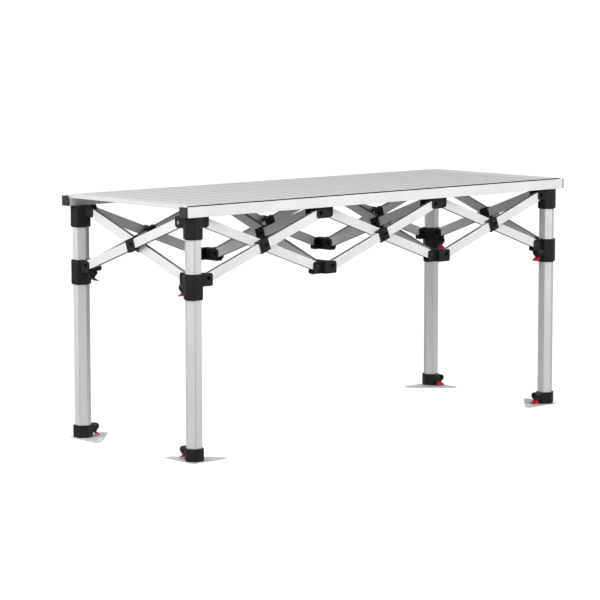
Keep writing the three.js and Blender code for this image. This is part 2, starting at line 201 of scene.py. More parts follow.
def stretched(nodes, links, scale):
    """Object coordinates stretched by scale along each axis."""
    coordinates = nodes.new("ShaderNodeTexCoord")
    mapping = nodes.new("ShaderNodeMapping")
    mapping.inputs["Scale"].default_value = scale
    links.new(coordinates.outputs["Object"], mapping.inputs["Vector"])
    return mapping.outputs["Vector"]


def ranged(nodes, links, value, low, high, start=0.3, end=0.7):
    node = nodes.new("ShaderNodeMapRange")
    node.inputs["From Min"].default_value = start
    node.inputs["From Max"].default_value = end
    node.inputs["To Min"].default_value = low
    node.inputs["To Max"].default_value = high
    links.new(value, node.inputs["Value"])
    return node.outputs["Result"]


def between(nodes, links, factor, dark, light):
    node = nodes.new("ShaderNodeMix")
    node.data_type = "RGBA"
    node.inputs["A"].default_value = (*dark, 1.0)
    node.inputs["B"].default_value = (*light, 1.0)
    links.new(factor, node.inputs["Factor"])
    return node.outputs["Result"]


def bumped(nodes, links, shader, height, strength, distance):
    node = nodes.new("ShaderNodeBump")
    node.inputs["Strength"].default_value = strength
    node.inputs["Distance"].default_value = distance
    links.new(height, node.inputs["Height"])
    links.new(node.outputs["Normal"], shader.inputs["Normal"])


def painted_shade_faces(nodes, links, axis, start, end):
    """1 on the piece's faces that look along one of its own axes, 0 on its other faces.

    start and end are the parts of the normal along the axis where the rise from 0 to 1 begins
    and is done.
    """
    coordinates = nodes.new("ShaderNodeTexCoord")
    parts = nodes.new("ShaderNodeSeparateXYZ")
    links.new(coordinates.outputs["Normal"], parts.inputs["Vector"])
    size = nodes.new("ShaderNodeMath")
    size.operation = "ABSOLUTE"
    links.new(parts.outputs[axis], size.inputs[0])
    return ranged(nodes, links, size.outputs[0], 0.0, 1.0, start, end)


def brushed_metal(
    name, axis, dark, light, rough=(0.34, 0.46), metallic=0.35, bump=0.08,
    edge=None, painted_shade_at=("Z", 0.5, 0.85),
):
    """Drawn or brushed metal whose fine lines run along one axis of the piece.

    edge, if given, is a darker colour painted on some faces as shade; the argument after it says
    which: the axis they look along, and how far a normal leans to it where the colour starts and where
    it is full.
    """
    material, nodes, links, shader = new_material(name)
    fine = [900.0 if i != axis else 6.0 for i in range(3)]
    broad = [160.0 if i != axis else 2.0 for i in range(3)]
    lines = noise(nodes, links, stretched(nodes, links, fine), 1.0, 3.0, 0.6)
    bands = noise(nodes, links, stretched(nodes, links, broad), 1.0, 2.0, 0.5)
    clouds = noise(nodes, links, stretched(nodes, links, (9.0, 9.0, 9.0)), 1.0, 2.0, 0.5)
    shade = nodes.new("ShaderNodeMath")
    shade.operation = "MULTIPLY_ADD"
    shade.inputs[1].default_value = 0.5
    links.new(lines, shade.inputs[0])
    half = ranged(nodes, links, bands, 0.0, 0.5, 0.2, 0.8)
    links.new(half, shade.inputs[2])
    colour = between(nodes, links, shade.outputs[0], dark, light)
    # Painted shade: faces picked by their normal are darkened towards the given colour.
    if edge:
        blend = nodes.new("ShaderNodeMix")
        blend.data_type = "RGBA"
        blend.inputs["B"].default_value = (*edge, 1.0)
        links.new(colour, blend.inputs["A"])
        links.new(painted_shade_faces(nodes, links, *painted_shade_at), blend.inputs["Factor"])
        colour = blend.outputs["Result"]
    links.new(colour, shader.inputs["Base Color"])
    links.new(ranged(nodes, links, clouds, rough[0], rough[1]), shader.inputs["Roughness"])
    shader.inputs["Metallic"].default_value = metallic
    bumped(nodes, links, shader, lines, bump, 0.0003)
    return material


def grained_plastic(name, dark, light, rough, bump, grain=1400.0, specular=0.45):
    """Moulded plastic or rubber: cloudy colour, and a fine grain in its gloss and its surface."""
    material, nodes, links, shader = new_material(name)
    vector = stretched(nodes, links, (1.0, 1.0, 1.0))
    fine = noise(nodes, links, vector, grain, 2.0, 0.6)
    clouds = noise(nodes, links, vector, 22.0, 3.0, 0.6)
    links.new(between(nodes, links, clouds, dark, light), shader.inputs["Base Color"])
    links.new(ranged(nodes, links, fine, rough[0], rough[1]), shader.inputs["Roughness"])
    shader.inputs["Specular IOR Level"].default_value = specular
    bumped(nodes, links, shader, fine, bump, 0.0002)
    return material


def zinc_plate(name):
    """Zinc-plated steel with a faint spangle."""
    material, nodes, links, shader = new_material(name)
    vector = stretched(nodes, links, (1.0, 1.0, 1.0))
    cells = nodes.new("ShaderNodeTexVoronoi")
    cells.inputs["Scale"].default_value = 120.0
    links.new(vector, cells.inputs["Vector"])
    clouds = noise(nodes, links, vector, 30.0, 4.0, 0.6)
    fine = noise(nodes, links, vector, 900.0, 2.0, 0.5)
    tint = nodes.new("ShaderNodeMath")
    tint.operation = "MULTIPLY_ADD"
    tint.inputs[1].default_value = 0.35
    links.new(cells.outputs["Distance"], tint.inputs[0])
    links.new(clouds, tint.inputs[2])
    colour = between(nodes, links, tint.outputs[0], (0.52, 0.525, 0.53), (0.66, 0.665, 0.67))
    links.new(colour, shader.inputs["Base Color"])
    links.new(ranged(nodes, links, clouds, 0.36, 0.52), shader.inputs["Roughness"])
    shader.inputs["Metallic"].default_value = 0.15
    bumped(nodes, links, shader, fine, 0.12, 0.0002)
    return material


RAIL_DARK, RAIL_LIGHT = (0.80, 0.805, 0.81), (0.90, 0.903, 0.906)
LEG_DARK, LEG_LIGHT = (0.66, 0.665, 0.67), (0.78, 0.783, 0.786)
RAIL_METAL = brushed_metal("aluminium_x", 0, RAIL_DARK, RAIL_LIGHT)
# Painted shade: the bars' narrow top and bottom faces are darkened to a dull grey.
BAR_METAL = brushed_metal("bar_aluminium", 0, RAIL_DARK, RAIL_LIGHT, edge=(0.24, 0.243, 0.246))
LEG_METAL = brushed_metal("aluminium_z", 2, LEG_DARK, LEG_LIGHT)
SLAT_FINISH = dict(axis=1, rough=(0.40, 0.52), metallic=0.4, bump=0.2)
# Painted shade: each slat's side faces and rounded long edges are dark, for the shade in the gaps
# between slats.
SLAT_METAL = brushed_metal(
    "slat_aluminium", dark=(0.56, 0.56, 0.565), light=(0.82, 0.82, 0.82), **SLAT_FINISH,
    edge=(0.12, 0.12, 0.124), painted_shade_at=("X", 0.2, 0.5),
)
# The two end slats: a little lighter, and without the painted shade on their side faces.
SLAT_END = brushed_metal(
    "slat_end_aluminium", dark=(0.66, 0.66, 0.665), light=(0.84, 0.84, 0.84), **SLAT_FINISH
)
CHARCOAL = grained_plastic(
    "charcoal_plastic", dark=(0.0035, 0.0037, 0.0041), light=(0.0165, 0.017, 0.018),
    rough=(0.36, 0.58), bump=0.5, grain=480.0, specular=0.28,
)
CAP_GREY = grained_plastic(
    "cap_plastic", dark=(0.022, 0.023, 0.025), light=(0.036, 0.037, 0.040),
    rough=(0.48, 0.62), bump=0.14, specular=0.3,
)
RUBBER = grained_plastic(
    "black_rubber", dark=(0.004, 0.004, 0.0044), light=(0.010, 0.010, 0.011),
    rough=(0.6, 0.78), bump=0.2, grain=700.0, specular=0.12,
)
RED = grained_plastic(
    "red_plastic", dark=(0.44, 0.002, 0.026), light=(0.60, 0.006, 0.044),
    rough=(0.22, 0.34), bump=0.08, grain=900.0,
)
# Near-black and almost without gloss: black steel bolts, made darker still as painted shade in their
# recesses.
BOLT = grained_plastic(
    "blackened_steel_and_painted_shade", dark=(0.0006, 0.0006, 0.0006), light=(0.0018, 0.0018, 0.0019),
    rough=(0.5, 0.7), bump=0.1, grain=900.0, specular=0.04,
)
ZINC = zinc_plate("zinc_steel")

# ---------------------------------------------------------------- solids, made in millimetres


def solid(vertices, faces):
    mesh = bpy.data.meshes.new("solid")
    mesh.from_pydata([tuple(v) for v in vertices], [], faces)
    work = bmesh.new()
    work.from_mesh(mesh)
    bmesh.ops.recalc_face_normals(work, faces=work.faces)
    work.to_mesh(mesh)
    work.free()
    piece = bpy.data.objects.new("solid", mesh)
    bpy.context.scene.collection.objects.link(piece)
    return piece


def loft(rings):
    """Closed surface through rings of points, with flat ends."""
    count = len(rings[0])
    faces = [list(range(count))[::-1], [(len(rings) - 1) * count + i for i in range(count)]]
    for r in range(len(rings) - 1):
        for i in range(count):
            j = (i + 1) % count
            faces.append([r * count + i, r * count + j, (r + 1) * count + j, (r + 1) * count + i])
    return solid([point for ring in rings for point in ring], faces)


def extrude(points, low, high, axis):
    """An outline extruded along an axis. Its points hold the other two coordinates in order."""

    def at(point, value):
        full = list(point)
        full.insert(axis, value)
        return full

    return loft([[at(p, low) for p in points], [at(p, high) for p in points]])


def block(x, y, z):
    (x0, x1), (y0, y1), (z0, z1) = sorted(x), sorted(y), sorted(z)
    return extrude([(x0, y0), (x1, y0), (x1, y1), (x0, y1)], z0, z1, 2)


def ring_points(radius, steps, centre=(0.0, 0.0), start=0.0):
    return [
        (
            centre[0] + radius * math.cos(start + 2 * math.pi * i / steps),
            centre[1] + radius * math.sin(start + 2 * math.pi * i / steps),
        )
        for i in range(steps)
    ]


def disc(radius, x, z, y0, y1, steps=28):
    return extrude(ring_points(radius, steps, (x, z)), min(y0, y1), max(y0, y1), 1)


def hexagon(apothem):
    return ring_points(apothem / math.cos(math.pi / 6), 6)


def remove(piece):
    mesh = piece.data
    bpy.data.objects.remove(piece)
    bpy.data.meshes.remove(mesh)


def applied(piece):
    """Replaces a piece's mesh by what its modifiers make of it."""
    bpy.context.view_layer.update()
    graph = bpy.context.evaluated_depsgraph_get()
    mesh = bpy.data.meshes.new_from_object(piece.evaluated_get(graph))
    old = piece.data
    piece.modifiers.clear()
    piece.data = mesh
    bpy.data.meshes.remove(old)
    return piece


def combined(piece, others, operation):
    for other in others:
        modifier = piece.modifiers.new("combine", "BOOLEAN")
        modifier.operation = operation
        modifier.solver = "EXACT"
        modifier.object = other
        applied(piece)
        remove(other)
    return piece


def joined(piece, others):
    return combined(piece, others, "UNION")


def cut(piece, others):
    return combined(piece, others, "DIFFERENCE")


def moved(piece, matrix):
    piece.data.transform(matrix)
    return piece


def rounded(piece, width, segments=2, angle=28.0):
    modifier = piece.modifiers.new("bevel", "BEVEL")
    modifier.width = width
    modifier.segments = segments
    modifier.limit_method = "ANGLE"
    modifier.angle_limit = math.radians(angle)
    modifier.use_clamp_overlap = False
    modifier.harden_normals = True
    for polygon in piece.data.polygons:
        polygon.use_smooth = True
    return applied(piece)


def as_mesh(piece):
    """The finished mesh of a piece, in metres; the piece itself goes."""
    mesh = piece.data
    mesh.transform(Matrix.Scale(MM, 4))
    bpy.data.objects.remove(piece)
    return mesh


def place(name, mesh, matrix, material, body, replaced=()):
    """A named piece from a finished mesh, put in place with a matrix in millimetres."""
    copy = mesh.copy()
    copy.name = name
    copy.materials.clear()
    copy.materials.append(material)
    piece = bpy.data.objects.new(name, copy)
    bpy.context.scene.collection.objects.link(piece)
    metres = matrix.copy()
    metres.translation = matrix.translation * MM
    piece.matrix_world = metres
    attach(piece, body)
    if replaced:
        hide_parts(*replaced)
    return piece


# ---------------------------------------------------------------- forks, hubs and corner parts


def arc(centre, radius, start, end, steps):
    return [
        (
            centre[0] + radius * math.cos(math.radians(start + (end - start) * i / steps)),
            centre[1] + radius * math.sin(math.radians(start + (end - start) * i / steps)),
        )
        for i in range(steps + 1)
    ]


def lip_outline(start, nose, web, top):
    """The long lip's side view, with a rounded tip that turns up a little."""
    up = 1 if top > web else -1
    return [
        (start, web), (nose - 9, web), (nose - 4.5, web + up * 0.8), (nose - 1.5, web + up * 2.6),
        (nose, web + up * 5.5), (nose - 0.2, top - up * 2.6), (nose - 1.4, top - up * 0.9),
        (nose - 3.4, top), (start, top),
    ]


def fork(reach, side, is_top, start, is_inner=False, has_lip=False, is_open=False):
    """The solids of a fork along +X: its body, its pin and the places of its bolts.

    side is the sign of the bar's place along Y. An inner bar's fork is plain on the cheek next to
    the leg axes, but for a square recess at the bottom. Where it is open it has no inside cheek.
    """
    up = 1 if is_top else -1
    pivot = TOP_PIVOT if is_top else BOTTOM_PIVOT
    middle = side * LAYER
    far_face, near_face = side * FAR_FACE, side * NEAR_FACE
    low, high = sorted((far_face, near_face))
    nose = reach + FORK_NOSE
    web = pivot + up * (TOP_FORK_WEB if is_top else BOTTOM_FORK_WEB)
    open_z = pivot - up * FORK_OPEN
    outline = [(start, web)]
    outline += arc((nose - WEB_CORNER, web - up * WEB_CORNER), WEB_CORNER, 90 * up, 0, 6)
    outline += arc((nose - NOSE_CORNER, open_z + up * NOSE_CORNER), NOSE_CORNER, 0, -90 * up, 8)
    outline.append((start, open_z))
    body = extrude(outline, low, high, 1)
    slot_start = reach - BAR_HEIGHT / 2 - 1
    if is_open:
        inside_cheek = (far_face + side, middle + side * (FORK_HALF - 1))
        cut(body, [block((slot_start, nose + 1), inside_cheek, (web - 2 * up, open_z - up))])
    if has_lip:
        lip = lip_outline(slot_start - 2, reach + LIP_NOSE, web, web - up * LIP_HEIGHT)
        joined(body, [extrude(lip, *sorted((far_face, middle - side * (FORK_HALF - 1))), 1)])
    slot_sides = (middle - FORK_HALF, middle + FORK_HALF)
    slot_floor = pivot + up * (BAR_HEIGHT / 2 + 0.5)
    cut(body, [block((slot_start, nose + LIP_NOSE), slot_sides, (slot_floor, open_z - up))])
    faces = [] if is_open else [far_face]
    if not is_inner:
        faces.append(near_face)
    elif not is_top:
        cut(body, [square_nut(reach, NUT_RECESS, -1.0, NUT_DEPTH)])
    bolts = [(reach, face, math.copysign(1.0, middle - face), pivot) for face in faces]
    for x, face, inward, z in bolts:
        cut(body, [disc(RECESS_RADIUS, x, z, face - inward, face + inward * RECESS_DEPTH)])
    pin = disc(PIN_RADIUS, reach, pivot, low + CHEEK - 0.5, high - CHEEK + 0.5, 20)
    return body, pin, bolts


def square_nut(reach, half_width, sunk, depth):
    """A square block in the near cheek of a lower fork for an inner bar, from sunk to depth."""
    upright = (BOTTOM_PIVOT - half_width, BOTTOM_PIVOT + half_width)
    level = (reach - half_width, reach + half_width)
    return block(level, (-NEAR_FACE - depth, -NEAR_FACE - sunk), upright)


def nut_mesh(reach, degrees):
    nut = square_nut(reach, NUT_SIZE / 2, 0.1, NUT_DEPTH + 0.5)
    return as_mesh(rounded(moved(nut, turn(degrees, "Z")), 0.6, 2))


def bolt_heads(*forks):
    """Socket-head bolts in their recesses, as one mesh. Each fork is its bolts and its turn."""
    total = None
    for bolts, degrees in forks:
        for x, face, inward, z in bolts:
            top, bottom = face + inward * 1.5, face + inward * (RECESS_DEPTH + 0.4)
            head = disc(RECESS_RADIUS - 0.4, x, z, top, bottom)
            hexagon_points = ring_points(SOCKET_RADIUS, 6, (x, z))
            cut(head, [extrude(hexagon_points, *sorted((face, face + inward * 2.3)), 1)])
            moved(rounded(head, 0.25, 1), turn(degrees, "Z"))
            total = head if total is None else joined(total, [head])
    return as_mesh(total)


def housing(top):
    """The rounded latch housing on the +Y flat, with a slot for its lever."""
    back = SLEEVE_APOTHEM - 1.5
    # Height above the top, half width and depth of each level, from the top down.
    profile = [
        (0.0, 9.0, 21.0), (-1.5, 11.0, 24.4), (-4.5, 12.6, 26.6), (-8.5, 13.0, HOUSING_DEPTH),
        (-13.0, 13.0, 26.7), (-16.5, 12.4, 25.0), (-19.5, 11.4, 22.2), (-22.0, 11.0, 20.4),
        (-HOUSING_HEIGHT, 11.0, 20.0),
    ]
    rings = []
    for drop, half, depth in profile:
        side, front = half - HOUSING_CORNER, SLEEVE_APOTHEM + depth - HOUSING_CORNER
        points = [(-half, back), (half, back)]
        points += arc((side, front), HOUSING_CORNER, 0, 90, 6)
        points += arc((-side, front), HOUSING_CORNER, 90, 180, 6)
        rings.append([(x, y, top + drop) for x, y in points])
    half_slot = LEVER_WIDTH / 2 + GAP
    slot_front = SLEEVE_APOTHEM + HOUSING_DEPTH + 5
    slot = block((-half_slot, half_slot), (LEVER_Y - 4.6, slot_front), (top - 40, top - 4.4))
    return cut(loft(rings), [slot])


def lever_meshes(top, bottom):
    """The red tab below the housing, and the dark cover that fills the housing's front."""
    half = LEVER_WIDTH / 2
    eye = top - LEVER_PIVOT_DROP
    mouth = top - HOUSING_HEIGHT
    front = SLEEVE_APOTHEM + HOUSING_DEPTH
    edge = front + TAB_REACH
    stem = [
        (LEVER_Y - 3, eye + 3), (LEVER_Y - 3, mouth - 1), (LEVER_Y + 2, mouth - 4),
        (LEVER_Y + 5, mouth - 2), (LEVER_Y + 3, eye + 3),
    ]
    tab = extrude(stem, -half, half, 0)
    blade = [
        (LEVER_Y - 1, mouth - 2.5), (LEVER_Y + 4.5, mouth - 2.5), (edge - 3, bottom + 3.4),
        (edge - 0.3, bottom + 2.6), (edge, bottom + 0.8), (edge - 1.6, bottom),
        (edge - 4.5, bottom + 0.2), (LEVER_Y + 1, mouth - 6.5),
    ]
    joined(tab, [extrude(blade, -TAB_WIDTH / 2, TAB_WIDTH / 2, 0)])
    cover_points = [
        (LEVER_Y + 3.3, eye + 2.2), (LEVER_Y + 3.3, mouth + 0.5), (front - 7.5, mouth + 0.5),
        (front - 7.0, mouth + 3), (front - 4.8, mouth + 7), (front - 2.4, mouth + 10.5),
        (front - 0.8, mouth + 13), (front - 1.2, eye - 1.4), (LEVER_Y + 8, eye + 0.7),
    ]
    cover = extrude(cover_points, -half, half, 0)
    return as_mesh(rounded(tab, 1.0, 2)), as_mesh(rounded(cover, 0.8, 2))


def finished_plastic(body, width=1.3):
    return as_mesh(rounded(body, width, 3))


def sleeve(low, high, rim):
    """A hexagonal sleeve, solid, whose lower edge is rounded by rim."""
    rings = []
    for step in range(5):
        angle = math.radians(90.0 * step / 4)
        inset = rim * (1 - math.sin(angle))
        z = low + rim * (1 - math.cos(angle))
        rings.append([(x, y, z) for x, y in hexagon(SLEEVE_APOTHEM - inset)])
    rings.append([(x, y, high) for x, y in hexagon(SLEEVE_APOTHEM)])
    return loft(rings)


def dark_corner_ridge_mesh(low, high):
    """A narrow dark ridge down a sleeve's outer corner."""
    corner = Vector(hexagon(SLEEVE_APOTHEM)[0]).length
    ridge = block((corner - 1.6, corner + 0.1), (-0.55, 0.55), (low + 2.5, high - 1.2))
    return as_mesh(rounded(moved(ridge, turn(240, "Z")), 0.2, 1))


def rivet_mesh():
    """The bright hollow rivet in the outer face of a top cap's fork across the table."""
    ring = disc(RIVET_RADIUS, LEG_REACH, TOP_PIVOT, FAR_FACE - 1.6, FAR_FACE + 0.2, 24)
    cut(ring, [disc(RIVET_HOLE, LEG_REACH, TOP_PIVOT, FAR_FACE - 3, FAR_FACE + 1, 24)])
    return as_mesh(rounded(moved(ring, turn(90, "Z")), 0.3, 2))


def top_cap():
    low, high = (corner.z for corner in box_mm("top_cap_front_left"))
    leg_top = box_mm("leg_front_left")[1].z
    body = sleeve(low, high, SLEEVE_RIM)
    args = dict(reach=LEG_REACH, side=1, is_top=True, start=SLEEVE_APOTHEM - SLEEVE_ROOT)
    along, pin_a, bolts_a = fork(**args, is_inner=True)
    across, pin_b, bolts_b = fork(**args)
    joined(body, [along, moved(across, turn(90, "Z"))])
    cut(body, [extrude(hexagon(BORE_APOTHEM), low - 5, leg_top + GAP, 2)])
    joined(body, [pin_a, moved(pin_b, turn(90, "Z"))])
    return finished_plastic(body), bolt_heads((bolts_a, 0), (bolts_b, 90))


def slider(is_open):
    """The sliding part; is_open leaves out the inside cheek of its fork across the table."""
    low, high = (corner.z for corner in box_mm("slider_front_left"))
    body = sleeve(low, high, SLEEVE_RIM)
    args = dict(reach=LEG_REACH, side=-1, is_top=False, start=SLEEVE_APOTHEM - SLEEVE_ROOT)
    along, pin_a, bolts_a = fork(**args)
    across, pin_b, bolts_b = fork(**args, is_inner=True, has_lip=True, is_open=is_open)
    joined(body, [along, moved(across, turn(90, "Z")), housing(SLIDER_LATCH)])
    cut(body, [extrude(hexagon(BORE_APOTHEM), low - 5, high + 5, 2)])
    joined(body, [pin_a, moved(pin_b, turn(90, "Z"))])
    return finished_plastic(body), bolt_heads((bolts_a, 0), (bolts_b, 90))


def foot_collar():
    low, high = (corner.z for corner in box_mm("foot_collar_front_left"))
    leg_bottom = box_mm("leg_front_left")[0].z
    body = sleeve(low, high, COLLAR_RIM)
    joined(body, [housing(COLLAR_LATCH)])
    cut(body, [extrude(hexagon(BORE_APOTHEM), leg_bottom - GAP, high + 5, 2)])
    cut(body, [extrude(hexagon(BORE_APOTHEM - FOOT_INSET), low - 5, high + 5, 2)])
    return finished_plastic(body, 1.0)


def hub(is_top):
    side = 1 if is_top else -1
    is_bottom = not is_top
    args = dict(reach=HUB_REACH, side=side, is_top=is_top, start=-HUB_CORE)
    right, pin_a, bolts_a = fork(**args, is_inner=is_top)
    left, pin_b, bolts_b = fork(**args, is_inner=is_bottom, has_lip=is_bottom, is_open=is_bottom)
    across, pin_c, bolts_c = fork(LEG_REACH, side, is_top, 0.0)
    joined(right, [moved(left, turn(180, "Z")), moved(across, turn(90, "Z"))])
    joined(right, [pin_a, moved(pin_b, turn(180, "Z")), moved(pin_c, turn(90, "Z"))])
    return finished_plastic(right), bolt_heads((bolts_a, 0), (bolts_b, 180), (bolts_c, 90))


def leg_mesh():
    """The hexagonal tube, with a narrow groove along each corner."""
    low, high = (corner.z for corner in box_mm("leg_front_left"))
    corners = [Vector(p) for p in hexagon(LEG_APOTHEM)]
    outline = []
    for i, corner in enumerate(corners):
        before = (corners[i - 1] - corner).normalized()
        after = (corners[(i + 1) % 6] - corner).normalized()
        inward = -corner.normalized()
        outline += [corner + before * 1.6, corner + before * 0.9 + inward * 0.15]
        outline += [corner + before * 0.55 + inward * 1.7, corner + after * 0.55 + inward * 1.7]
        outline += [corner + after * 0.9 + inward * 0.15, corner + after * 1.6]
    body = extrude([tuple(p) for p in outline], low, high, 2)
    cut(body, [extrude(hexagon(LEG_APOTHEM - TUBE_WALL), low - 1, high + 1, 2)])
    for polygon in body.data.polygons:
        polygon.use_smooth = False
    return as_mesh(body)


def build_corners():
    cap, cap_bolts = top_cap()
    tube = leg_mesh()
    runners = {is_open: slider(is_open) for is_open in (False, True)}
    collar = foot_collar()
    rivet = rivet_mesh()
    nut = nut_mesh(LEG_REACH, 90)
    dark_corner_ridges = {}
    for node in ("top_cap", "slider", "foot_collar"):
        low, high = box_mm(node + "_front_left")
        dark_corner_ridges[node] = dark_corner_ridge_mesh(low.z, high.z)
    slider_tab, slider_cover = lever_meshes(SLIDER_LATCH, SLIDER_TAB)
    foot_tab, foot_cover = lever_meshes(COLLAR_LATCH, COLLAR_TAB)
    for turns, name in enumerate(CORNERS):
        centre = middle_mm("leg_" + name)
        at = Matrix.Translation((centre.x, centre.y, 0)) @ turn(90 * turns, "Z")
        post, runs = "post_" + name, "slider_" + name
        place(f"leg_tube_{name}", tube, at, LEG_METAL, post, ["leg_" + name])
        place(f"cap_{name}", cap, at, CHARCOAL, post, ["top_cap_" + name])
        place(f"cap_bolts_{name}", cap_bolts, at, BOLT, post)
        runner, runner_bolts = runners[name in OPEN_SLIDERS]
        place(f"runner_{name}", runner, at, CHARCOAL, runs, ["slider_" + name])
        place(f"runner_bolts_{name}", runner_bolts, at, BOLT, runs)
        place(f"collar_{name}", collar, at, CHARCOAL, post, ["foot_collar_" + name])
        for node, body in (("top_cap", post), ("slider", runs), ("foot_collar", post)):
            place(f"{node}_dark_ridge_{name}", dark_corner_ridges[node], at, RUBBER, body)
        place(f"runner_nut_{name}", nut, at, CAP_GREY, runs)
        if name in RIVETED_CAPS:
            place(f"cap_rivet_{name}", rivet, at, ZINC, post)
        for kind, tab, cover in (("slider", slider_tab, slider_cover), ("foot", foot_tab, foot_cover)):
            node = f"{kind}_lever_{name}"
            place(f"{kind}_tab_{name}", tab, at, RED, node, [node])
            place(f"{kind}_tab_cover_{name}", cover, at, CHARCOAL, node)


def build_hubs():
    top, top_bolts = hub(True)
    bottom, bottom_bolts = hub(False)
    nut = nut_mesh(HUB_REACH, 180)
    places = [("front_1", -1, -1, 0), ("front_2", 1, -1, 0)]
    places += [("back_1", -1, 1, 180), ("back_2", 1, 1, 180)]
    for name, sign, row, degrees in places:
        at = Matrix.Translation((sign * HUB_X, row * HALF_WIDTH, 0)) @ turn(degrees, "Z")
        for kind, mesh, bolts in (("top", top, top_bolts), ("bottom", bottom, bottom_bolts)):
            node = f"hub_{kind}_{name}"
            place(f"{kind}_hub_{name}", mesh, at, CHARCOAL, node, [node])
            place(f"{kind}_hub_bolts_{name}", bolts, at, BOLT, node)
        place(f"bottom_hub_nut_{name}", nut, at, CAP_GREY, "hub_bottom_" + name)


# ---------------------------------------------------------------- bars


def bar_mesh():
    """A drawn flat tube with round ends and softly rounded long edges."""
    radius, thick, half = BAR_HEIGHT / 2, BAR_THICKNESS / 2, PIVOT_LENGTH / 2
    outline = arc((half, 0.0), radius, -90, 90, 20) + arc((-half, 0.0), radius, 90, 270, 20)
    body = extrude(outline, -thick, thick, 1)
    cut(body, [disc(HOLE_RADIUS, x, 0, -thick - 1, thick + 1, 20) for x in (-half, half, 0.0)])
    return as_mesh(rounded(body, 0.9, 3, 40.0))


def connector(side, middle):
    """The solid of a connector on one face of a bar, lapping the bar's long edges."""
    thick = BAR_THICKNESS / 2
    high, bar_high = CLIP_HEIGHT / 2, BAR_HEIGHT / 2 + 0.05
    start, end = middle - CLIP_LENGTH / 2, middle + CLIP_LENGTH / 2
    body = block((start, end), (side * (thick + CLIP_COVER), -side * (thick + 0.5)), (-high, high))
    channel_sides = (side * (thick + 0.05), -side * (thick + 5))
    return cut(body, [block((start - 1, end + 1), channel_sides, (-bar_high, bar_high))])


def outer_clip_mesh():
    """The outer bar's connector: a flat end, a groove, and a raised panel with the bolt's recess."""
    outer = -BAR_THICKNESS / 2 - CLIP_COVER
    body = connector(-1, -CLIP_SHIFT)
    start, end = -CLIP_SHIFT - CLIP_LENGTH / 2, -CLIP_SHIFT + CLIP_LENGTH / 2
    high = CLIP_HEIGHT / 2
    cut(body, [block((start + 7.0, start + 10.5), (outer - 2, outer + 1.8), (-30, 30))])
    panel = (outer - 0.9, outer + 1.0)
    joined(body, [block((start + 11.0, end - 0.8), panel, (-high + 1.5, high - 1.5))])
    cut(body, [disc(RECESS_RADIUS, 0, 0, outer - 5, outer + 1.6)])
    return as_mesh(rounded(body, 1.1, 3))


def inner_clip_mesh():
    """The inner bar's connector, on the face away from the crossing, with a hole for the pin."""
    thick = BAR_THICKNESS / 2
    body = connector(1, 0.0)
    cut(body, [disc(HOLE_RADIUS, 0, 0, thick - 1, thick + CLIP_COVER + 1)])
    spacer = disc(SPACER_RADIUS, 0, 0, -thick - (2 * LAYER - BAR_THICKNESS) + 0.2, -thick, 32)
    cut(spacer, [disc(HOLE_RADIUS, 0, 0, -thick - 10, thick + 10)])
    joined(body, [spacer])
    return as_mesh(rounded(body, 1.1, 3))


def clip_bolt_mesh():
    """The crossing's bolt: a socket head in the outer connector, and its shank reaching into the inner
    one.
    """
    thick = BAR_THICKNESS / 2
    outer = -thick - CLIP_COVER
    head = disc(5.6, 0, 0, outer + 0.7, outer + 2.4)
    cut(head, [extrude(ring_points(SOCKET_RADIUS, 6), outer - 2, outer + 1.9, 1)])
    far = 2 * LAYER + thick + CLIP_COVER
    pin = disc(PIN_RADIUS, 0, 0, outer + 2.0, far - 1.0, 20)
    joined(head, [pin])
    return as_mesh(rounded(head, 0.3, 2))


def build_bars():
    bar, bolt = bar_mesh(), clip_bolt_mesh()
    clips = {"outer": outer_clip_mesh(), "inner": inner_clip_mesh()}
    outer_x = HUB_X + HUB_REACH + SPAN / 2
    columns = list(enumerate((-outer_x, 0, outer_x), 1))
    crossings = [(f"front_{i}", x, -HALF_WIDTH, 0) for i, x in columns]
    crossings += [(f"back_{i}", x, HALF_WIDTH, 180) for i, x in columns]
    crossings += [("left", -LEG_X, 0, 270), ("middle_1", -HUB_X, 0, 270)]
    crossings += [("middle_2", HUB_X, 0, 90), ("right", LEG_X, 0, 90)]
    for name, x, y, degrees in crossings:
        base = Matrix.Translation((x, y, CROSSING_Z)) @ turn(degrees, "Z")
        for layer, rises in (("outer", 1), ("inner", -1)):
            lean = turn(-rises * math.degrees(SLOPE), "Y")
            at = base @ Matrix.Translation((0, -rises * LAYER, 0)) @ lean
            node = f"bar_{name}_{layer}"
            place(f"tube_{name}_{layer}", bar, at, BAR_METAL, node, [node])
            place(f"clip_{name}_{layer}", clips[layer], at, CHARCOAL, node)
            if layer == "outer":
                place(f"clip_bolt_{name}", bolt, at, BOLT, node)


# ---------------------------------------------------------------- top


def rail_mesh(length):
    """A hollow extruded rail, outer lip at -Y."""
    bottom, top = (corner.z for corner in box_mm("rail_front"))
    ledge = top - RAIL_LIP_HEIGHT
    half, inside = RAIL_WIDTH / 2, RAIL_WIDTH / 2 - TUBE_WALL
    lip = -half + RAIL_LIP
    outline = [(-half, bottom), (half, bottom), (half, ledge), (lip, ledge), (lip, top), (-half, top)]
    body = extrude(outline, -length / 2, length / 2, 0)
    bore = block((-length, length), (-inside, inside), (bottom + TUBE_WALL, ledge - TUBE_WALL))
    cut(body, [bore])
    return as_mesh(rounded(body, 0.5, 2, 40.0))


def rail_cap_mesh(end):
    """The plastic cap over a rail's +X end, with a plug that goes into the rail."""
    low, high = (corner.z for corner in box_mm("rail_front"))
    half = RAIL_WIDTH / 2
    inset = TUBE_WALL + GAP
    body = block((end - END_CAP, end), (-half, half), (low, high))
    notch_sides = (-half + RAIL_LIP + 0.2, half + 1)
    cut(body, [block((end - END_CAP - 1, end - 2.2), notch_sides, (high - 6.8, high + 1))])
    plug_sides = (-half + inset, half - inset)
    joined(body, [block((end - 30, end - END_CAP + 1), plug_sides, (low + inset, high - 9.4))])
    return as_mesh(rounded(body, 0.9, 3))


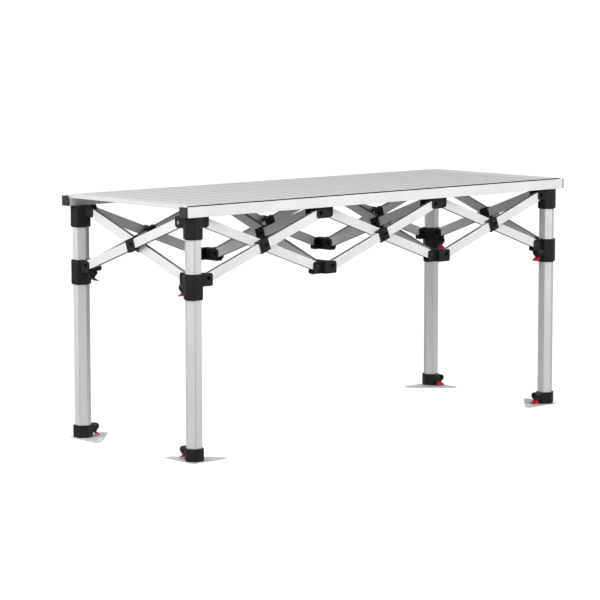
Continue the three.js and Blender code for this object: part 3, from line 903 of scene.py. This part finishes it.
def build_rails():
    lo, hi = box_mm("rail_front")
    end = hi.x
    rail_y = -(lo.y + hi.y) / 2
    rail = rail_mesh(2 * (end - END_CAP) - 0.4)
    cap = rail_cap_mesh(end)
    mirrored = cap.copy()
    mirrored.transform(Matrix.Diagonal((-1, 1, 1, 1)))
    mirrored.flip_normals()
    rows = (("front", -1, 0, ("right", "left")), ("back", 1, 180, ("left", "right")))
    for name, row, degrees, ends in rows:
        at = Matrix.Translation((0, row * rail_y, 0)) @ turn(degrees, "Z")
        place(f"side_rail_{name}", rail, at, RAIL_METAL, "tabletop", ["rail_" + name])
        for side, mesh in zip(ends, (cap, mirrored)):
            place(f"rail_cap_{name}_{side}", mesh, at, CAP_GREY, "tabletop")


def slat_mesh(width, length, low, top):
    """A channel slat across the table, open below, with two ribs and small inward feet."""
    half, roof, foot = width / 2, top - SLAT_WALL, low + 1.3
    side = half - SLAT_WALL
    outline = [(-half, low), (-half, top), (half, top), (half, low), (half - SLAT_FOOT, low)]
    outline += [(half - SLAT_FOOT, foot), (side, foot), (side, roof)]
    for rib in (SLAT_RIB, -SLAT_RIB):
        outline += [(rib + 0.7, roof), (rib + 0.7, roof - 5), (rib - 0.7, roof - 5), (rib - 0.7, roof)]
    outline += [(-side, roof), (-side, foot), (-half + SLAT_FOOT, foot), (-half + SLAT_FOOT, low)]
    body = extrude(outline, -length / 2, length / 2, 1)
    return as_mesh(rounded(body, 0.75, 3, 40.0))


def plug_mesh(half, low, top):
    """The plug in a slat's end, with a tongue into the slat; its outer face looks along +Y."""
    body = block((-half + 0.15, half - 0.15), (0, SLAT_PLUG), (low + 0.1, top - 0.25))
    tongue = block((-half + 2, half - 2), (-18, 1), (low + 1.6, low + 4.2))
    return as_mesh(rounded(joined(body, [tongue]), 0.6, 2))


def hinge_mesh(length, low):
    """The strip under the joint between two slats."""
    half = SLAT_GAP / 2 + 0.8
    strip = block((-half, half), (-length / 2, length / 2), (low + 0.2, low + 1.8))
    return as_mesh(rounded(strip, 0.3, 1))


def build_slats():
    lo, hi = box_mm("slat_top")
    pitch = (hi.x - lo.x + SLAT_GAP) / SLAT_COUNT
    width = pitch - SLAT_GAP
    length = hi.y - lo.y - 2 * SLAT_PLUG
    slat = slat_mesh(width, length, lo.z, hi.z)
    plug = plug_mesh(width / 2, lo.z, hi.z)
    hinge = hinge_mesh(length, lo.z)
    for i in range(SLAT_COUNT):
        x = lo.x + width / 2 + i * pitch
        number = f"{i + 1:02d}"
        node = ["slat_top"] if i == 0 else ()
        material = SLAT_END if i in (0, SLAT_COUNT - 1) else SLAT_METAL
        at = Matrix.Translation((x, 0, 0))
        back = Matrix.Translation((x, length / 2, 0))
        front = Matrix.Translation((x, -length / 2, 0)) @ turn(180, "Z")
        place(f"slat_{number}", slat, at, material, "tabletop", node)
        place(f"slat_plug_back_{number}", plug, back, RUBBER, "tabletop")
        place(f"slat_plug_front_{number}", plug, front, RUBBER, "tabletop")
    for i in range(SLAT_COUNT - 1):
        at = Matrix.Translation((lo.x + width + SLAT_GAP / 2 + i * pitch, 0, 0))
        place(f"slat_hinge_{i + 1:02d}", hinge, at, RUBBER, "tabletop")


# ---------------------------------------------------------------- carried-over nodes


def build_feet():
    for name in CORNERS:
        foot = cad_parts["foot_" + name]
        foot.data.materials.clear()
        foot.data.materials.append(ZINC)
        bevel = foot.modifiers.new("bevel", "BEVEL")
        bevel.width = 0.0005
        bevel.segments = 2
        bevel.limit_method = "ANGLE"
        bevel.angle_limit = math.radians(40.0)


build_corners()
build_hubs()
build_bars()
build_rails()
build_slats()
build_feet()

# ---------------------------------------------------------------- stage and light


def camera_or(nodes, links, other, seen):
    """A number that is seen by the camera's own rays and other by every other ray."""
    path = nodes.new("ShaderNodeLightPath")
    node = nodes.new("ShaderNodeMapRange")
    node.inputs["To Min"].default_value = other
    node.inputs["To Max"].default_value = seen
    links.new(path.outputs["Is Camera Ray"], node.inputs["Value"])
    return node.outputs["Result"]


def stage_floor():
    work = bmesh.new()
    bmesh.ops.create_circle(work, cap_ends=True, radius=FLOOR_RADIUS, segments=96)
    mesh = bpy.data.meshes.new("floor")
    work.to_mesh(mesh)
    work.free()
    floor = bpy.data.objects.new("floor", mesh)
    bpy.context.scene.collection.objects.link(floor)
    floor.location.z = -FLOOR_DROP
    material, nodes, links, shader = new_material("floor_white")
    shader.inputs["Base Color"].default_value = (FLOOR_GREY, FLOOR_GREY, FLOOR_GREY, 1.0)
    shader.inputs["Roughness"].default_value = 0.9
    shader.inputs["Specular IOR Level"].default_value = 0.1
    shader.inputs["Emission Color"].default_value = (1.0, 1.0, 1.0, 1.0)
    links.new(camera_or(nodes, links, FLOOR_GLOW, 1.0), shader.inputs["Emission Strength"])
    mesh.materials.append(material)


def soft_light(name, place_at, target, width, height, radiance):
    """A rectangular soft box; radiance is its brightness as seen in a mirror."""
    data = bpy.data.lights.new(name, "AREA")
    data.shape = "RECTANGLE"
    data.size = width
    data.size_y = height
    data.energy = radiance * math.pi * width * height
    light = bpy.data.objects.new(name, data)
    bpy.context.scene.collection.objects.link(light)
    light.location = place_at
    light.rotation_euler = (Vector(target) - Vector(place_at)).to_track_quat("-Z", "Y").to_euler()
    light.visible_camera = False


def studio():
    world = bpy.data.worlds.new("studio")
    bpy.context.scene.world = world
    world.use_nodes = True
    nodes, links = world.node_tree.nodes, world.node_tree.links
    background = nodes["Background"]
    background.inputs["Color"].default_value = (1.0, 1.0, 1.0, 1.0)
    strength = camera_or(nodes, links, WORLD_FILL, BACKDROP_WHITE)
    links.new(strength, background.inputs["Strength"])
    for soft_box in SOFT_BOXES:
        soft_light(*soft_box)
    scene = bpy.context.scene
    scene.view_settings.view_transform = "Standard"
    scene.view_settings.look = "None"


stage_floor()
studio()
